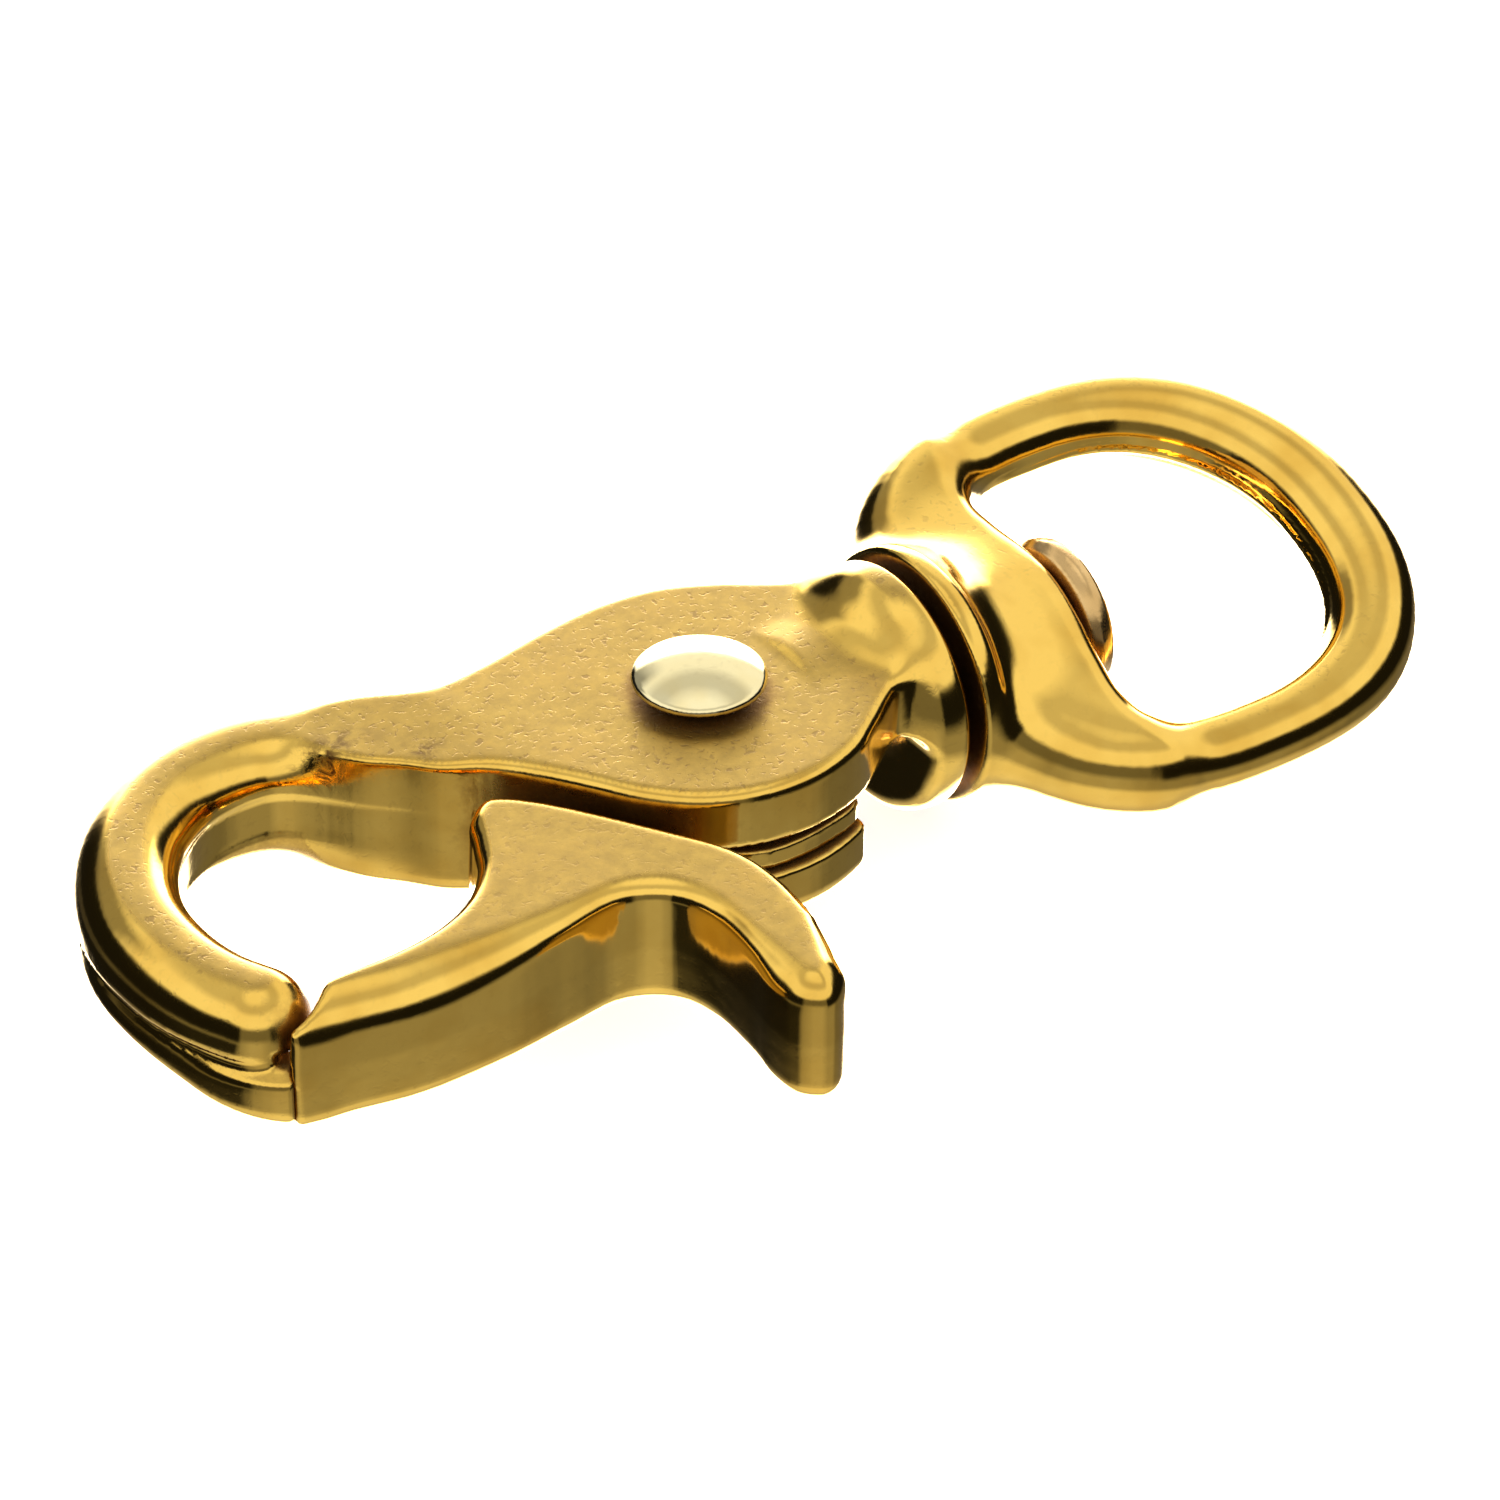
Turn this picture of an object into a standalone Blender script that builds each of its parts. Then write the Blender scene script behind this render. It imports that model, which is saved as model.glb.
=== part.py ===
"""Brass trigger snap with a swivel eye.

Design frame: the gate's rivet stands on the Z axis, the swivel stud lies on the X axis, and the two axes
cross at the design origin. +X points to the eye, -X to the hook, -Y to the gate's lever, +Z to the rivet's
head. At the end the whole snap is set down with the centre of its footprint on the world origin.
"""

import math

import bmesh
import bpy
from mathutils import Matrix, Vector

MM = 0.001
FOLD_LIMIT = 0.8           # share of an outline's own radius that an edge rounding may use up

# ---------------------------------------------------------------- driving dimensions (millimetres)
# Body casting
CHEEK_HALF = 4.85          # half the thickness over the two cheeks
CHEEK_R = 10.5             # the cheeks' round edge about the rivet
CHEEK_EDGE = 1.0           # rounding of the cheeks' edges
SLOT_BACK = 6.2            # the slot for the gate's tongue ends at this web on the far side
BAR_W = 6.1                # hook bar, across
BAR_H = 8.2                # hook bar, in height
NOSE_STEP = -0.2           # under this height the nose runs on as a ledge
# Collar and swivel
COLLAR_R = 7.6
COLLAR_END = 14.07         # the collar's flat end
COLLAR_WALL = 3.6          # length of the stud's bore in the collar
WINDOW_START = 5.4         # the lower cheek ends here
FOOT_START = 11.3          # the collar's foot starts here, past the window
SWIVEL_GAP = 0.8           # between the collar and the eye's flange
# Gate
GATE_HALF = 4.15           # half the thickness of jaw and lever
GATE_EDGE = 1.3
TONGUE_LOW = -1.05
TONGUE_T = 1.35
TONGUE_R = 10.1            # the tongue's outer edge about the rivet
TONGUE_FIT = 0.2           # under the tongue, in its slot
TONGUE_ROOM = 0.75         # above the tongue, in its slot
HUB_R = 5.4
# Rivet
RIVET_R = 1.95
RIVET_HEAD_R = 4.0
RIVET_RIM = 0.55
RIVET_LIFT = 0.70          # the head's rim stands this far off the cheek
RIVET_DOME = 0.95
TAIL_R = 3.2
TAIL_T = 1.0
# Spring
WIRE_D = 0.5
COIL_R = 2.85
COIL_TURNS = 3.25
COIL_PITCH = 0.56
COIL_GAP = 0.12            # between the tongue and the lowest turn
COIL_SIDE_ROOM = 0.8       # round the coil, in the upper cheek
COIL_TOP_ROOM = 0.16       # above the coil, in the upper cheek
LEG_REACH = 3.4            # the lower leg turns down this far outside the coil
LEG_UPPER = 3.6            # length of the upper leg
LEG_SLOT_END = 7.4         # the upper leg's slot in the cheek ends here
# Eye
EYE_CENTRE = 31.5          # centre of the D ring's centreline
EYE_LONG = 14.05           # its half length
EYE_WIDE = 12.5            # its half width
EYE_POWER = 2.05           # roundness of the D
EYE_BAR_R = 2.75
YOKE_FACE = 24.2           # the yoke's flat inside the eye
YOKE_HALF = 3.8            # half its height there
FLANGE_R = 7.9
FLANGE_T = 1.5
EYE_DROOP = 18.7           # degrees: the eye's near side rests this far down
# Stud
STUD_R = 2.4
KNOB_R = 5.15
KNOB_T = 3.1
PEEN_R = 3.4
PEEN_T = 1.9
CLEAR = 9.0                # height that is clear above and below all castings, for cutters
# Clearances
SEAT_GAP = 0.15            # a head or tail above the face it holds
RIVET_FIT = 0.2            # around the rivet
STUD_FIT = 0.2             # around the stud
NOSE_GAP = 0.3             # between nose and jaw

# ---------------------------------------------------------------- sizes that follow from them
TONGUE_HIGH = TONGUE_LOW + TONGUE_T
SLOT_LOW = TONGUE_LOW - TONGUE_FIT
SLOT_HIGH = TONGUE_HIGH + TONGUE_ROOM
COIL_LOW = TONGUE_HIGH + COIL_GAP + WIRE_D / 2
COIL_HIGH = COIL_LOW + COIL_PITCH * COIL_TURNS
SPRING_ROOM_R = COIL_R + WIRE_D / 2 + COIL_SIDE_ROOM
SPRING_ROOM_TOP = COIL_HIGH + WIRE_D / 2 + COIL_TOP_ROOM
FLANGE_START = COLLAR_END + SWIVEL_GAP

BRASS = (0.83, 0.61, 0.25, 1.0)
PALE_BRASS = (0.90, 0.82, 0.55, 1.0)
DARK_BRASS = (0.55, 0.38, 0.17, 1.0)
STEEL = (0.62, 0.60, 0.56, 1.0)

OBJECT_NAME = "trigger_snap"


# ---------------------------------------------------------------- scene, collections, materials
for old in list(bpy.data.objects):
    bpy.data.objects.remove(old, do_unlink=True)

PARTS = bpy.data.collections.new(OBJECT_NAME)
CUTTERS = bpy.data.collections.new("cutters")
bpy.context.scene.collection.children.link(PARTS)
bpy.context.scene.collection.children.link(CUTTERS)


def material(name, colour, roughness):
    mat = bpy.data.materials.new(name)
    mat.use_nodes = True
    shader = mat.node_tree.nodes["Principled BSDF"]
    shader.inputs["Base Color"].default_value = colour
    shader.inputs["Metallic"].default_value = 1.0
    shader.inputs["Roughness"].default_value = roughness
    return mat


def mm(*xyz):
    return Vector(xyz) * MM


# ---------------------------------------------------------------- shape helpers
def mesh_object(name, mesh, collection):
    obj = bpy.data.objects.new(name, mesh)
    collection.objects.link(obj)
    return obj


def helper(obj):
    """Marks a shape that only cuts or joins another one."""
    obj.hide_render = True
    obj.display_type = "WIRE"
    return obj


def curve_to_mesh(curve_obj, collection, scale_z=1.0):
    """Turns a curve into a closed mesh object of the same name, its caps welded."""
    bpy.context.view_layer.update()
    graph = bpy.context.evaluated_depsgraph_get()
    mesh = bpy.data.meshes.new_from_object(curve_obj.evaluated_get(graph))
    matrix = Matrix.Diagonal((1.0, 1.0, scale_z, 1.0)) @ curve_obj.matrix_world
    name = curve_obj.name
    data = curve_obj.data
    bpy.data.objects.remove(curve_obj, do_unlink=True)
    bpy.data.curves.remove(data)
    bm = bmesh.new()
    bm.from_mesh(mesh)
    bm.transform(matrix)
    bmesh.ops.remove_doubles(bm, verts=bm.verts, dist=1e-6)
    bmesh.ops.recalc_face_normals(bm, faces=bm.faces)
    bm.to_mesh(mesh)
    bm.free()
    return mesh_object(name, mesh, collection)


def spline_point(p0, p1, p2, p3, t):
    """A point between p1 and p2 on a centripetal Catmull-Rom line through four plan points."""
    d1 = math.sqrt(max((p1 - p0).length, 1e-6))
    d2 = math.sqrt((p2 - p1).length)
    d3 = math.sqrt(max((p3 - p2).length, 1e-6))
    leave = (p1 - p0) / d1 - (p2 - p0) / (d1 + d2) + (p2 - p1) / d2
    arrive = (p2 - p1) / d2 - (p3 - p1) / (d2 + d3) + (p3 - p2) / d3
    leave, arrive = leave * d2, arrive * d2
    return (p1 * (2 * t ** 3 - 3 * t ** 2 + 1) + leave * (t ** 3 - 2 * t ** 2 + t)
            + p2 * (3 * t ** 2 - 2 * t ** 3) + arrive * (t ** 3 - t ** 2))


def smooth_line(points, per_span=5, closed=False, corners=()):
    """A smooth line through plan points; at a corner (its index) it may turn sharply."""
    points = [Vector(p) for p in points]
    count = len(points)
    out = []
    for i in range(count if closed else count - 1):
        p1, p2 = points[i], points[(i + 1) % count]
        p0 = 2 * p1 - p2 if i in corners or (i == 0 and not closed) else points[i - 1]
        end = i + 1
        stops = end % count in corners or (end == count - 1 and not closed)
        p3 = 2 * p2 - p1 if stops else points[(end + 1) % count]
        out += [spline_point(p0, p1, p2, p3, k / per_span) for k in range(per_span)]
    if not closed:
        out.append(points[-1])
    return out


def inward(points, edge):
    """For each point of a closed outline (counter-clockwise), the way inwards; shorter than 1 where the
    outline turns so tightly that moving in by the whole edge would fold it over."""
    out = []
    for before, here, after in zip(points[-1:] + points[:-1], points, points[1:] + points[:1]):
        chord = (after - here).normalized() + (here - before).normalized()
        normal = Vector((-chord.y, chord.x)).normalized()
        rooms = [(p - here).length_squared / (2 * normal.dot(p - here)) for p in points
                 if normal.dot(p - here) > 1e-6]
        out.append(normal * min(1.0, FOLD_LIMIT * min(rooms) / edge))
    return out


def plate(name, points, low, high, edge, collection, corners=(), steps=4, edge_steps=3):
    """A flat plate between two heights: a smooth closed outline through the points, counter-clockwise from
    above, sharp only at the corners, with rounded edges."""
    outline = smooth_line(points, steps, closed=True, corners=corners)
    ways = inward(outline, edge)
    angles = [math.pi / 2 * i / edge_steps for i in range(edge_steps + 1)]
    lower = [(edge * (1 - math.sin(a)), low + edge * (1 - math.cos(a))) for a in angles]
    upper = [(amount, low + high - z) for amount, z in reversed(lower)]
    bm = bmesh.new()
    rings = [[bm.verts.new(mm(*(p + way * amount), z)) for p, way in zip(outline, ways)]
             for amount, z in lower + upper]
    for below, above in zip(rings, rings[1:]):
        for i in range(len(outline)):
            j = (i + 1) % len(outline)
            bm.faces.new((below[i], below[j], above[j], above[i]))
    bm.faces.new(reversed(rings[0]))
    bm.faces.new(rings[-1])
    mesh = bpy.data.meshes.new(name)
    bm.to_mesh(mesh)
    bm.free()
    return mesh_object(name, mesh, collection)


def tube(name, points, radius, collection, scale_z=1.0, sides=3, cyclic=False):
    """A round bar along a POLY line through the points."""
    curve = bpy.data.curves.new(name, "CURVE")
    curve.dimensions = "3D"
    curve.bevel_depth = radius * MM
    curve.bevel_resolution = sides
    curve.use_fill_caps = not cyclic
    spline = curve.splines.new("POLY")
    spline.use_cyclic_u = cyclic
    spline.points.add(len(points) - 1)
    for index, point in enumerate(points):
        spline.points[index].co = (*(Vector(point).to_3d() * MM), 1.0)
    obj = bpy.data.objects.new(name, curve)
    collection.objects.link(obj)
    return curve_to_mesh(obj, collection, scale_z)


def turned(name, profile, axis, collection, steps=32):
    """A turned shape: a profile of (radius, height) pairs, top to bottom, run round the named axis."""
    bm = bmesh.new()
    verts = [bm.verts.new(mm(r, 0, h)) for r, h in profile]
    for first, second in zip(verts, verts[1:]):
        bm.edges.new((first, second))
    mesh = bpy.data.meshes.new(name)
    bm.to_mesh(mesh)
    bm.free()
    obj = mesh_object(name, mesh, collection)
    if axis == "X":
        obj.rotation_euler = (0.0, math.pi / 2, 0.0)
    screw = obj.modifiers.new("turn", "SCREW")
    screw.steps = steps
    screw.render_steps = steps
    screw.use_merge_vertices = True
    screw.merge_threshold = 1e-6
    return obj


def rod(name, start, end, radius, axis, collection, steps=32):
    """A plain cylinder along an axis, from one coordinate to another."""
    low, high = sorted((start, end))
    profile = [(0, high), (radius, high), (radius, low), (0, low)]
    return turned(name, profile, axis, collection, steps)


def block(name, low, high, collection, edge=0.0):
    """A box between two corners, with edges rounded where asked."""
    bm = bmesh.new()
    bmesh.ops.create_cube(bm, size=1.0)
    size = [h - l for l, h in zip(low, high)]
    centre = [(h + l) / 2 for l, h in zip(low, high)]
    bm.transform(Matrix.Translation(mm(*centre)) @ Matrix.Diagonal((*mm(*size), 1.0)))
    mesh = bpy.data.meshes.new(name)
    bm.to_mesh(mesh)
    bm.free()
    obj = mesh_object(name, mesh, collection)
    if edge:
        bevel = obj.modifiers.new("edge", "BEVEL")
        bevel.width = edge * MM
        bevel.segments = 3
    return obj


def boolean(obj, operation, *others):
    for other in others:
        helper(other)
        modifier = obj.modifiers.new(other.name, "BOOLEAN")
        modifier.operation = operation
        modifier.solver = "EXACT"
        modifier.object = other


def finish(obj, mat, parent):
    obj.data.materials.append(mat)
    obj.data.shade_smooth()
    obj.data.set_sharp_from_angle(angle=math.radians(35))
    obj.parent = parent
    return obj


def arc(radius, start, end, count, centre=(0.0, 0.0)):
    """Points on an arc, angles in degrees."""
    angles = [math.radians(start + (end - start) * i / (count - 1)) for i in range(count)]
    return [(centre[0] + radius * math.cos(a), centre[1] + radius * math.sin(a)) for a in angles]


def empty(name, parent=None):
    obj = bpy.data.objects.new(name, None)
    PARTS.objects.link(obj)
    obj.parent = parent
    return obj


# ---------------------------------------------------------------- shared outlines
# Centreline of the hook bar, from inside the cheeks round to the nose.
HOOK_LINE = [(-10.5, 5.5), (-14.6, 8.4), (-18.6, 10.7), (-23.2, 12.4), (-28.2, 11.9), (-32.0, 9.5),
             (-34.6, 6.1), (-36.1, 2.2), (-36.4, -2.2), (-35.6, -6.0), (-34.0, -9.1), (-31.4, -10.6)]
# The nose and the jaw meet on this slanted line, seen from above: from the hook's mouth outwards.
MEET_INNER = Vector((-32.2, -9.4))
MEET_OUTER = Vector((-36.4, -12.0))
# Below the nose's step the ledge ends here.
LEDGE_END = -34.0


# ---------------------------------------------------------------- body casting
def make_body(parent):
    near_edge = arc(CHEEK_R, -142, -44, 7)
    outline = ([(-16.0, 2.0), (-13.5, 0.5), (-11.3, -2.1)] + near_edge
               + [(9.4, -6.1), (FOOT_START, -5.2), (FOOT_START + 1.0, 0.5), (FOOT_START, 6.2), (9.9, 7.3),
                  (7.4, 9.0), (4.0, 10.5), (0.0, 11.0), (-4.5, 10.3), (-8.6, 9.5), (-11.7, 9.5),
                  (-14.2, 10.2), (-17.4, 11.6), (-20.2, 12.2), (-21.2, 10.8), (-20.2, 8.6), (-18.0, 5.6)])
    body = plate("snap_body", outline, -CHEEK_HALF, CHEEK_HALF, CHEEK_EDGE, PARTS)
    bar = tube("hook_bar", smooth_line(HOOK_LINE), BAR_W / 2, CUTTERS, scale_z=BAR_H / BAR_W, sides=4)
    collar = turned("collar", [(0, COLLAR_END), (COLLAR_R - 0.6, COLLAR_END), (COLLAR_R, COLLAR_END - 0.6),
                               (COLLAR_R, COLLAR_END - 2.2), (COLLAR_R - 0.8, COLLAR_END - 3.2),
                               (CHEEK_HALF + 0.6, 9.6), (CHEEK_HALF - 0.6, 8.0), (0, 8.0)], "X", CUTTERS)
    boolean(body, "UNION", bar, collar)

    slot = plate("slot", arc(CHEEK_R + 2.0, 180, 325, 9) + [(8.8, -5.0), (8.8, SLOT_BACK - 1),
                 (7.8, SLOT_BACK), (-7.0, SLOT_BACK), (-12.5, 2.6)], SLOT_LOW, SLOT_HIGH, 0.02, CUTTERS,
                 edge_steps=1)
    window = block("window", (WINDOW_START, -12.0, -CLEAR), (FOOT_START, 5.4, 0.5), CUTTERS, edge=1.2)
    peen_room = rod("peen_room", 6.4, COLLAR_END - COLLAR_WALL, PEEN_R + 0.6, "X", CUTTERS)
    stud_bore = rod("stud_bore", 8.0, 20.0, STUD_R + STUD_FIT, "X", CUTTERS)
    rivet_bore = rod("rivet_bore", -CLEAR, CLEAR, RIVET_R + RIVET_FIT, "Z", CUTTERS)
    spring_room = rod("spring_room", TONGUE_HIGH, SPRING_ROOM_TOP, SPRING_ROOM_R, "Z", CUTTERS)
    leg_slot = block("leg_slot", (0.0, COIL_R - WIRE_D, TONGUE_HIGH),
                     (LEG_SLOT_END, COIL_R + WIRE_D, SPRING_ROOM_TOP), CUTTERS)
    nose_cut = meeting_slab("nose_cut", 1, NOSE_STEP, CLEAR)
    ledge_cut = block("ledge_cut", (LEDGE_END, -16.0, -CLEAR), (-28.0, -6.0, CLEAR), CUTTERS)
    boolean(body, "DIFFERENCE", slot, window, rivet_bore, spring_room, leg_slot, nose_cut, ledge_cut,
            peen_room, stud_bore)
    return finish(body, material("cast_brass", BRASS, 0.28), parent)


def meeting_slab(name, side, low, high):
    """A slab on one side of the slanted line where nose and jaw meet (+1 the jaw's side, -1 the hook's),
    reaching over the line by half the gap."""
    along = (MEET_OUTER - MEET_INNER).normalized()
    across = Vector((-along.y, along.x)) * side
    start = MEET_INNER - along * BAR_W - across * NOSE_GAP / 2
    end = MEET_OUTER + along * BAR_W - across * NOSE_GAP / 2
    depth = across * BAR_W * 1.5
    bm = bmesh.new()
    floor = bm.faces.new([bm.verts.new(mm(*p, low)) for p in (start, end, end + depth, start + depth)])
    top = bmesh.ops.extrude_face_region(bm, geom=[floor])["geom"]
    bmesh.ops.translate(bm, verts=[v for v in top if isinstance(v, bmesh.types.BMVert)],
                        vec=mm(0, 0, high - low))
    bmesh.ops.recalc_face_normals(bm, faces=bm.faces)
    mesh = bpy.data.meshes.new(name)
    bm.to_mesh(mesh)
    bm.free()
    return mesh_object(name, mesh, CUTTERS)


# ---------------------------------------------------------------- gate
def make_gate(parent):
    outline = [(-31.6, -12.9), (-27.5, -13.7), (-22.0, -13.7), (-17.5, -13.2), (-13.4, -12.8),
               (-11.4, -14.1), (-10.4, -16.6), (-10.4, -20.4), (-11.2, -23.6), (-11.0, -25.6),
               (-9.2, -26.6), (-7.4, -25.0), (-6.3, -20.8), (-5.6, -16.2), (-6.1, -13.0), (-8.4, -9.3),
               (-13.7, -1.9), (-15.2, -0.7), (-16.7, -1.7), (-17.6, -3.4), (-19.0, -5.9), (-21.2, -8.0),
               (-24.0, -9.3), (-27.3, -9.9), (-30.0, -9.6), (-33.6, -7.6), (-38.6, -9.4), (-37.2, -11.4)]
    gate = plate("gate", outline, -GATE_HALF, GATE_HALF, GATE_EDGE, PARTS)
    tongue_edge = arc(TONGUE_R, -128, -62, 6)
    tongue = plate("tongue", tongue_edge + [(5.2, -3.0)] + arc(HUB_R, 5, 165, 7)
                   + [(-6.5, 0.6), (-12.6, -3.4), (-14.5, -6.0), (-9.6, -11.5)], TONGUE_LOW,
                   TONGUE_HIGH, 0.15, CUTTERS, corners=(5,), edge_steps=1)
    boolean(gate, "UNION", tongue)
    bore = rod("gate_bore", -CLEAR, CLEAR, RIVET_R + RIVET_FIT, "Z", CUTTERS)
    leg_hole = rod("leg_hole", TONGUE_LOW - WIRE_D, TONGUE_HIGH + WIRE_D, WIRE_D, "Z", CUTTERS, steps=12)
    leg_hole.location = mm(-COIL_R - LEG_REACH, 0.0, 0.0)
    tip_cut = meeting_slab("tip_cut", -1, -CLEAR, CLEAR)
    ledge_room = block("ledge_room", (-40.0, -18.0, -CLEAR),
                       (LEDGE_END + NOSE_GAP, -6.0, NOSE_STEP + NOSE_GAP), CUTTERS)
    boolean(gate, "DIFFERENCE", bore, leg_hole, tip_cut, ledge_room)
    return finish(gate, material("gate_brass", BRASS, 0.25), parent)


# ---------------------------------------------------------------- rivet and spring
def make_rivet(parent):
    rim_low = CHEEK_HALF + RIVET_LIFT
    rim_high = rim_low + RIVET_RIM
    dome = [(RIVET_HEAD_R * math.sin(a), rim_high + RIVET_DOME * math.cos(a))
            for a in (math.radians(d) for d in (0, 18, 36, 54, 72, 90))]
    tail_top = -CHEEK_HALF - SEAT_GAP
    profile = dome + [(RIVET_HEAD_R, rim_low), (RIVET_HEAD_R - 0.7, rim_low),
                      (RIVET_HEAD_R - 0.8, CHEEK_HALF + SEAT_GAP), (RIVET_R, CHEEK_HALF + SEAT_GAP),
                      (RIVET_R, tail_top), (TAIL_R, tail_top), (TAIL_R, tail_top - TAIL_T * 0.5),
                      (TAIL_R - 0.7, tail_top - TAIL_T), (0, tail_top - TAIL_T)]
    rivet = turned("pivot_rivet", profile, "Z", PARTS, steps=40)
    return finish(rivet, material("rivet_brass", PALE_BRASS, 0.12), parent)


def make_spring(parent):
    """Torsion spring: one leg down into the gate's tongue, coils round the rivet, one leg in the cheek."""
    leg_x = -COIL_R - LEG_REACH
    per_turn = 14
    count = int(COIL_TURNS * per_turn)
    points = [(leg_x, 0.0, TONGUE_LOW + 0.3), (leg_x, 0.0, COIL_LOW - 0.15), (leg_x + 0.3, 0.0, COIL_LOW),
              (-COIL_R - 0.9, 0.0, COIL_LOW)]
    for i in range(1, count + 1):
        angle = math.pi - 2 * math.pi * COIL_TURNS * i / count
        height = COIL_LOW + COIL_PITCH * COIL_TURNS * i / count
        points.append((COIL_R * math.cos(angle), COIL_R * math.sin(angle), height))
    top = points[-1]
    points.append((top[0] + LEG_UPPER, top[1], top[2]))
    spring = tube("gate_spring", points, WIRE_D / 2, PARTS, sides=2)
    return finish(spring, material("spring_steel", STEEL, 0.35), parent)


# ---------------------------------------------------------------- swivel eye and stud
def eye_point(angle):
    c, s = math.cos(angle), math.sin(angle)
    power = 2 / EYE_POWER
    x = EYE_CENTRE + EYE_LONG * math.copysign(abs(c) ** power, c)
    return (x, EYE_WIDE * math.copysign(abs(s) ** power, s), 0.0)


def make_eye(parent):
    count = 44
    ring = tube("swivel_eye", [eye_point(2 * math.pi * i / count) for i in range(count)], EYE_BAR_R, PARTS,
                cyclic=True, sides=4)
    boss = turned("yoke_boss", [(0, YOKE_FACE - 1.0), (YOKE_HALF, YOKE_FACE - 1.0),
                                (YOKE_HALF + 1.6, YOKE_FACE - 3.5),
                                (FLANGE_R - 0.9, FLANGE_START + FLANGE_T + 0.6),
                                (FLANGE_R, FLANGE_START + FLANGE_T - 0.3), (FLANGE_R, FLANGE_START + 0.5),
                                (FLANGE_R - 0.5, FLANGE_START), (0, FLANGE_START)], "X", CUTTERS)
    web = plate("yoke_web", [(YOKE_FACE, -8.2), (YOKE_FACE, 8.2), (YOKE_FACE + 0.5, 10.2), (22.6, 11.2),
                             (19.2, 10.2), (16.9, 7.6), (16.1, 0.0), (16.9, -7.6), (19.2, -10.2),
                             (22.6, -11.2), (YOKE_FACE + 0.5, -10.2)], -YOKE_HALF, YOKE_HALF, 1.2, CUTTERS)
    boolean(ring, "UNION", boss, web)
    bore = rod("yoke_bore", 10.0, 30.0, STUD_R + STUD_FIT, "X", CUTTERS)
    boolean(ring, "DIFFERENCE", bore)
    return finish(ring, material("eye_brass", BRASS, 0.25), parent)


def make_stud(parent):
    seat = YOKE_FACE + SEAT_GAP * 2
    inner = COLLAR_END - COLLAR_WALL - SEAT_GAP
    profile = [(0, seat + KNOB_T), (KNOB_R * 0.55, seat + KNOB_T - 0.15), (KNOB_R - 0.7, seat + KNOB_T - 0.7),
               (KNOB_R, seat + KNOB_T - 1.5), (KNOB_R - 0.15, seat + 0.6), (KNOB_R - 0.7, seat),
               (STUD_R, seat), (STUD_R, inner), (PEEN_R, inner), (PEEN_R, inner - PEEN_T * 0.5),
               (PEEN_R - 0.8, inner - PEEN_T), (0, inner - PEEN_T)]
    stud = turned("swivel_stud", profile, "X", PARTS, steps=32)
    return finish(stud, material("stud_brass", DARK_BRASS, 0.4), parent)


# ---------------------------------------------------------------- assembly
def set_down(frame):
    """Moves the frame so that the snap stands on height 0, the centre of its footprint at the origin."""
    bpy.context.view_layer.update()
    graph = bpy.context.evaluated_depsgraph_get()
    corners = []
    for obj in PARTS.objects:
        if obj.type == "MESH":
            solid = obj.evaluated_get(graph)
            corners += [obj.matrix_world @ v.co for v in solid.data.vertices]
    low = Vector(min(c[i] for c in corners) for i in range(3))
    high = Vector(max(c[i] for c in corners) for i in range(3))
    frame.location = (-(low.x + high.x) / 2, -(low.y + high.y) / 2, -low.z)


def main():
    frame = empty("snap_frame")
    gate_pivot = empty("gate_pivot", frame)
    swivel_axis = empty("swivel_axis", frame)
    swivel_axis.rotation_euler = (math.radians(EYE_DROOP), 0.0, 0.0)
    make_body(frame)
    make_gate(gate_pivot)
    make_rivet(frame)
    make_spring(frame)
    make_eye(swivel_axis)
    make_stud(frame)
    for shape in CUTTERS.objects:
        owner = next((o for o in PARTS.objects if any(m.type == "BOOLEAN" and m.object == shape
                                                      for m in o.modifiers)), None)
        shape.parent = owner
    set_down(frame)


main()
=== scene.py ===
"""Looks of the brass trigger snap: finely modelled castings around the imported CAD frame, brass materials,
a pale floor, soft studio light and the camera.

Castings are modelled as smooth solids (signed distance fields), in millimetres, in the design frame: the
gate's rivet is the Z axis, the swivel stud the X axis, +X points to the eye, -Y to the lever.
"""

import math

import bpy
import numpy as np
from mathutils import Matrix, Vector


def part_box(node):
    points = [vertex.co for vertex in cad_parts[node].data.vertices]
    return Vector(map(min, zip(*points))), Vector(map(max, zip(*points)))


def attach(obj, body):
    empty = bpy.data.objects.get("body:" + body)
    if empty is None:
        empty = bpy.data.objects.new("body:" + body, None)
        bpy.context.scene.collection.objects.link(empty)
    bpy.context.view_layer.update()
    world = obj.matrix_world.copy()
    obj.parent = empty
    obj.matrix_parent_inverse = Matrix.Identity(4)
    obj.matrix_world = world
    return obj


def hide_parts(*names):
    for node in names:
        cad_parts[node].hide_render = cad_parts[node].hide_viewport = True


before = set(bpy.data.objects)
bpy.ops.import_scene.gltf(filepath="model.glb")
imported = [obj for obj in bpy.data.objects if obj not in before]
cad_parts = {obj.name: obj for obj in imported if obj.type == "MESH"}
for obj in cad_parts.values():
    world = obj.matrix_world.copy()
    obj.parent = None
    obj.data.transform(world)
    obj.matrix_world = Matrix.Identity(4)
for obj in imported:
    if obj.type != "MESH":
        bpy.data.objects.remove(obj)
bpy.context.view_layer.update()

MM = 0.001
DROOP = math.radians(18.7)          # the eye rests with its near side this far down
rivet_low, rivet_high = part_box("pivot_rivet")
stud_low, stud_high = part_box("swivel_stud")
ORIGIN = Vector(((rivet_low.x + rivet_high.x) / 2, (rivet_low.y + rivet_high.y) / 2,
                 (stud_low.z + stud_high.z) / 2))
CHEEK_TOP, GATE_UP = 4.85, 4.15     # half heights of the cheeks and the gate
SLOT_LOW, SLOT_HIGH = -1.25, 1.05
COLLAR_FACE = 14.07                 # where the collar ends, facing the eye
RIVET_BORE_R, STUD_BORE_R = 2.15, 2.6


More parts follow.
